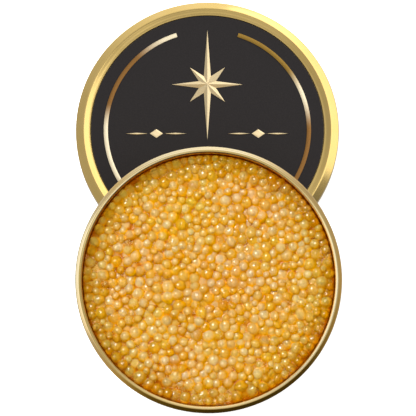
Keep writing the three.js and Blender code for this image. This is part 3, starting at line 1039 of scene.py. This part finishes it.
class Gel:
    """The wet gel on a square grid.

    It is a smooth skin over the eggs that takes their colour where it is thin."""

    def __init__(self, rng, places, sizes, tints, poles):
        _, tops, sides = tints
        half = BED_RADIUS + 1
        count = int(2 * half / GEL_STEP) + 1
        self.axis = np.linspace(-half, half, count)
        level = BED_TOP - GEL_LEVEL
        x, y = np.meshgrid(self.axis, self.axis, indexing="ij")
        sink = GEL_SINK + GEL_SINK_SPREAD * slow_waves(rng, x, y, GEL_SINK_LENGTH)
        total = np.full((count, count), 1.0)
        egg_top = np.full((count, count), level - 1.0)
        tint = np.zeros((count, count, 3)) + GEL_DEEP
        for number, (size, (cx, cy, cz)) in enumerate(zip(sizes, places)):
            near = size + DOME_MARGIN
            i0, i1 = np.searchsorted(self.axis, (cx - near, cx + near))
            j0, j1 = np.searchsorted(self.axis, (cy - near, cy + near))
            here = (slice(i0, i1), slice(j0, j1))
            away = np.hypot(x[here] - cx, y[here] - cy) / size
            round_top = np.sqrt(np.maximum(1 - away**2, 0))
            slope = DOME_EDGE_HEIGHT - DOME_EDGE_SLOPE * (away - DOME_EDGE)
            dome = np.where(away < DOME_EDGE, round_top, slope)
            height = cz + size * dome
            rise = height - sink[here] - level
            swell = np.exp(np.minimum(rise / GEL_SOFTNESS, HIGHEST_POWER))
            total[here] += swell * (away < DOME_REACH)
            over = (height > egg_top[here]) & (away < 1)
            egg_top[here] = np.where(over, height, egg_top[here])
            # Thin gel takes the egg's tints, the painted light of its top included
            pole = poles[number]
            across = ((x[here] - cx) * pole[0] + (y[here] - cy) * pole[1]) / size
            heart = heart_share(across + round_top * pole[2])[..., None]
            tint[here] = np.where(over[..., None], mix(sides[number], tops[number], heart), tint[here])
        self.heights = level + GEL_SOFTNESS * np.log(total)
        thickness = np.maximum(self.heights - egg_top, 0)[..., None]
        self.depths = thickness[..., 0]
        # Thicker gel is painted darker, towards the crevice's shade
        deep = mix(GEL_CREVICE_SHADE, GEL_DEEP, np.exp(-thickness / GEL_DARK))
        self.tints = mix(deep, tint, np.exp(-thickness / GEL_MURK))

    def sample(self, field, x, y):
        """A field of the grid at any x and y, between its four nearest values."""
        step = self.axis[1] - self.axis[0]
        fx, fy = (x - self.axis[0]) / step, (y - self.axis[0]) / step
        i, j = np.floor(fx).astype(int), np.floor(fy).astype(int)
        u, v = fx - i, fy - j
        if field.ndim == 3:
            u, v = u[..., None], v[..., None]
        return (
            field[i, j] * (1 - u) * (1 - v) + field[i + 1, j] * u * (1 - v)
            + field[i, j + 1] * (1 - u) * v + field[i + 1, j + 1] * u * v
        )


def disc_grid(cells):
    """A square grid drawn out to a disc of radius 1 so that all its cells stay about as large."""
    line = np.linspace(-1, 1, cells + 1)
    a, b = np.meshgrid(line, line, indexing="ij")
    wide = np.abs(a) > np.abs(b)
    reach = np.where(wide, a, b)
    safe = np.where(reach == 0, 1, reach)
    turn = np.where(wide, math.pi / 4 * b / safe, math.pi / 2 - math.pi / 4 * a / safe)
    return reach * np.cos(turn), reach * np.sin(turn)


def model_gel(gel):
    """The gel's skin on a disc, closed by a wall down to a flat bottom."""
    x, y = (BED_RADIUS * part for part in disc_grid(GEL_CELLS))
    z = gel.sample(gel.heights, x, y)
    top = np.stack([x, y, z], axis=2).reshape(-1, 3)
    grid = np.arange(len(top)).reshape(x.shape)
    edge = np.concatenate([grid[:-1, 0], grid[-1, :-1], grid[:0:-1, -1], grid[0, :0:-1]])
    bottom = BASE_RECESS + SHEET + BED_LIFT
    low = top[edge].copy()
    low[:, 2] = bottom
    points = np.concatenate([top, low, [[0, 0, bottom]]])
    corners = [grid[:-1, :-1], grid[1:, :-1], grid[1:, 1:], grid[:-1, 1:]]
    quads = np.stack(corners, axis=2).reshape(-1, 4)
    low_edge = len(top) + np.arange(len(edge))
    next_edge, next_low = np.roll(edge, -1), np.roll(low_edge, -1)
    faces = np.concatenate([
        quads[:, [0, 1, 2]],
        quads[:, [0, 2, 3]],
        np.stack([edge, low_edge, next_low], axis=1),
        np.stack([edge, next_low, next_edge], axis=1),
        np.stack([np.full(len(edge), len(points) - 1), next_low, low_edge], axis=1),
    ])
    colours = np.zeros((len(points), 3)) + GEL_DEEP
    colours[:len(top)] = gel.sample(gel.tints, x, y).reshape(-1, 3)
    colours = shade_near_wall(points, colours)
    piece = joined_mesh("roe_gel", points * MM, faces, colours)
    return settle(piece, TIN_MATRIX)


# Places tried at random, of which only those in a hollow and in a cluster take a bead
BEAD_TRIES = 16000
BEAD_RADIUS = (0.1, 0.2)
BEAD_RISE = 0.2
# The drops' pale tint is partly painted sparkle, so that they show as bright specks
BEAD_SPARKLE_TINT = (0.90, 0.60, 0.19)
BEAD_MARGIN = 0.6
# A hollow is where the gel is at least this thick, and the clusters are about this long
HOLLOW_DEPTH = 0.16
CLUSTER_LENGTH = 6.0
CLUSTER_FROM = -0.1


def model_beads(rng, gel):
    """Tiny drops of roe oil that sit in the hollows between the eggs, with a pale tint that is partly
    painted sparkle.
    """
    directions, faces = ball_shape(1)
    out = (BED_RADIUS - BEAD_MARGIN) * np.sqrt(rng.random(BEAD_TRIES))
    turn = 2 * math.pi * rng.random(BEAD_TRIES)
    x = out * np.cos(turn)
    y = out * np.sin(turn)
    in_hollow = gel.sample(gel.depths, x, y) > HOLLOW_DEPTH
    in_cluster = slow_waves(rng, x, y, CLUSTER_LENGTH) > CLUSTER_FROM
    x = x[in_hollow & in_cluster]
    y = y[in_hollow & in_cluster]
    sizes = mix(*BEAD_RADIUS, rng.random(len(x)) ** 1.5)
    z = gel.sample(gel.heights, x, y) + BEAD_RISE * sizes
    points = np.stack([x, y, z], axis=1)[:, None, :] + directions[None] * sizes[:, None, None]
    colours = shade_near_wall(points, np.zeros_like(points) + BEAD_SPARKLE_TINT)
    piece = joined_mesh(
        "roe_beads", points.reshape(-1, 3) * MM, faces_of_copies(faces, len(x), len(directions)),
        colours.reshape(-1, 3),
    )
    return settle(piece, TIN_MATRIX)


UPRIGHT = TIN_MATRIX.to_3x3() @ Vector((0, 0, 1))
# How much the upright outweighs the flesh's own normal, which stands for the light inside it
GLOW_THROUGH = 9.0
# Pale threads, partly the roe's membrane and partly painted sheen of its wet skin
THREAD_SHEEN_TINT = (0.93, 0.66, 0.30)


def roe_flesh(tree, place, thread_sheen):
    """The flesh's tint: from the edge tint to the top tint of painted light, a little cloudy, with
    pale threads in places that are partly painted sheen.
    """
    heart = add(tree, "ShaderNodeVertexColor", layer_name="heart")
    edge = add(tree, "ShaderNodeVertexColor", layer_name="edge")
    peaked = add(tree, "ShaderNodeMath", operation="POWER")
    peaked.inputs[1].default_value = LIT_TOP_POWER
    tree.links.new(
        map_range(tree, heart.outputs["Alpha"], LIT_TOP_FROM, LIT_TOP_FULL), peaked.inputs[0]
    )
    tint = blend(tree, peaked.outputs["Value"], edge.outputs["Color"], heart.outputs["Color"])
    cloud = noise(tree, place, Scale=1300.0, Detail=2.0, Roughness=0.6)
    clouded = add(tree, "ShaderNodeVectorMath", operation="SCALE")
    tree.links.new(tint, clouded.inputs[0])
    tree.links.new(map_range(tree, cloud, 0.3, 0.7, 0.95, 1.04), clouded.inputs["Scale"])
    threads = noise(
        tree, place, noise_type="RIDGED_MULTIFRACTAL",
        Scale=1000.0, Detail=0.0, Offset=1.0, Distortion=0.6,
    )
    clusters = noise(tree, place, Scale=170.0, Detail=2.0)
    sheen_thread_share = ramp(tree, threads, [(0.68, (0, 0, 0)), (0.96, (thread_sheen,) * 3)])
    cluster_share = ramp(tree, clusters, [(0.55, (0, 0, 0)), (0.64, (1, 1, 1))])
    share = multiply(tree, sheen_thread_share, cluster_share)
    return blend(tree, share, clouded.outputs["Vector"], THREAD_SHEEN_TINT)


def leaned_normal(tree):
    """The surface's normal, leaned towards the tin's upright."""
    surface = tree.nodes.new("ShaderNodeNewGeometry")
    leaned = add(tree, "ShaderNodeVectorMath", operation="ADD")
    tree.links.new(surface.outputs["Normal"], leaned.inputs[0])
    leaned.inputs[1].default_value = UPRIGHT * GLOW_THROUGH
    spread = add(tree, "ShaderNodeVectorMath", operation="NORMALIZE")
    tree.links.new(leaned.outputs["Vector"], spread.inputs[0])
    return spread.outputs["Vector"]


def folded_skin(tree, place, wrinkle):
    """The wet skin's normal, with small folds in places."""
    folds = noise(
        tree, place, noise_type="RIDGED_MULTIFRACTAL",
        Scale=700.0, Detail=1.0, Offset=1.0, Distortion=0.6,
    )
    patches = noise(tree, place, Scale=230.0, Detail=1.0)
    relief = add(tree, "ShaderNodeMath", operation="MULTIPLY")
    tree.links.new(folds, relief.inputs[0])
    tree.links.new(map_range(tree, patches, 0.53, 0.62, 0.02, 1.0), relief.inputs[1])
    return bump(tree, relief.outputs["Value"], wrinkle, 0.08 * MM)


def roe_material(name, wet, thread_sheen, wrinkle):
    """Translucent flesh under a wet skin.

    Light spreads through the flesh, so it is shaded with normals that lean towards the upright. The
    skin keeps its own shape."""
    material, tree, shader = new_material(name)
    place = tree.nodes.new("ShaderNodeTexCoord").outputs["Object"]
    tree.links.new(roe_flesh(tree, place, thread_sheen), shader.inputs["Base Color"])
    tree.links.new(leaned_normal(tree), shader.inputs["Normal"])
    tree.links.new(folded_skin(tree, place, wrinkle), shader.inputs["Coat Normal"])
    set_values(
        shader, subsurface_method="BURLEY", Subsurface_Weight=0.75,
        Subsurface_Radius=(1.0, 0.75, 0.2), Subsurface_Scale=1.2 * MM,
        Roughness=0.6, Specular_IOR_Level=0.0,
        Coat_Weight=wet, Coat_IOR=2.2, Coat_Roughness=0.22,
    )
    return material


def dress(piece, material, slot, *nodes):
    piece.data.materials.append(material)
    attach(piece, "root")
    if nodes:
        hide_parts(*nodes)


# Making

place_camera()
floor = lay_floor()

tin_gold = gold_tinplate("tin_gold", TIN_PLACE, LEAN, line_depth=0.06, rim=True)
lid_gold = gold_tinplate("lid_gold", LID_PLACE, 0.0, line_depth=0.025)
tin = model_tin()
lid = model_lid()
label = model_label()
dress(tin, tin_gold, "gold_tinplate", "tin_body")
dress(lid, lid_gold, "gold_tinplate", "tin_lid")
dress(label, black_print(), "label_print", "label_disc")

DARK_FOIL = (0.25, 0.115, 0.024)
OLIVE_FOIL = (0.27, 0.155, 0.022)
MID_FOIL = (0.45, 0.32, 0.15)
PALE_FOIL = (0.90, 0.78, 0.54)
STAR_GOLD = (0.9, 0.72, 0.42)


def clockwise_share(degrees):
    """Where an angle counted from +X towards +Y falls in a sweep that runs clockwise from -Y."""
    return ((90 - degrees + 180) % 360) / 360


arc_tones = [
    (250, DARK_FOIL), (222, MID_FOIL), (205, PALE_FOIL), (180, PALE_FOIL), (164, DARK_FOIL),
    (135, DARK_FOIL), (112, PALE_FOIL), (90, PALE_FOIL), (75, OLIVE_FOIL), (38, OLIVE_FOIL),
    (20, PALE_FOIL), (0, DARK_FOIL), (-50, DARK_FOIL),
]
arc_foil = foil_print("arc_foil", [(clockwise_share(angle), tone) for angle, tone in arc_tones])
star_foil = foil_print("star_foil", [(0.0, STAR_GOLD), (1.0, STAR_GOLD)])
sweep = 180 - 2 * ARC_GAP_HALF_ANGLE
foil = {
    "label_arc_left": model_arc("foil_arc_left", 90 + ARC_GAP_HALF_ANGLE, sweep),
    "label_arc_right": model_arc("foil_arc_right", -90 + ARC_GAP_HALF_ANGLE, sweep),
    "label_star": model_star(),
    "label_divider_left": model_divider("foil_divider_left", -DIVIDER_CENTRE_X),
    "label_divider_right": model_divider("foil_divider_right", DIVIDER_CENTRE_X),
}
for node, piece in foil.items():
    dress(piece, arc_foil if "arc" in node else star_foil, "gold_foil", node)

EGG_SEED = 20261
rng = np.random.default_rng(EGG_SEED)
egg_places, egg_sizes = pack_eggs(rng)
tints = draw_tints(rng)
poles = draw_poles(rng)
eggs = model_eggs(rng, egg_places, egg_sizes, tints, poles)
gel_skin = Gel(rng, egg_places, egg_sizes, tints, poles)
gel = model_gel(gel_skin)
beads = model_beads(rng, gel_skin)
dress(gel, roe_material("gel_amber", wet=0.004, thread_sheen=0.4, wrinkle=0.6), "roe", "caviar")
for piece, name in zip(eggs, ("egg_cream", "egg_golden", "egg_amber")):
    dress(piece, roe_material(name, wet=0.008, thread_sheen=0.2, wrinkle=0.35), "roe")
dress(beads, roe_material("oil_bead", wet=0.007, thread_sheen=0.0, wrinkle=0.0), "roe")


def collect(name, things):
    group = bpy.data.collections.new(name)
    for thing in things:
        group.objects.link(thing)
    return group


light_the_studio(
    collect("roe_things", [gel, beads, *eggs, floor]),
    collect("tin_things", [tin]),
    collect("lid_things", [lid, label, *foil.values()]),
    collect("foil_things", foil.values()),
)

scene = bpy.context.scene
scene.view_settings.view_transform = "Standard"
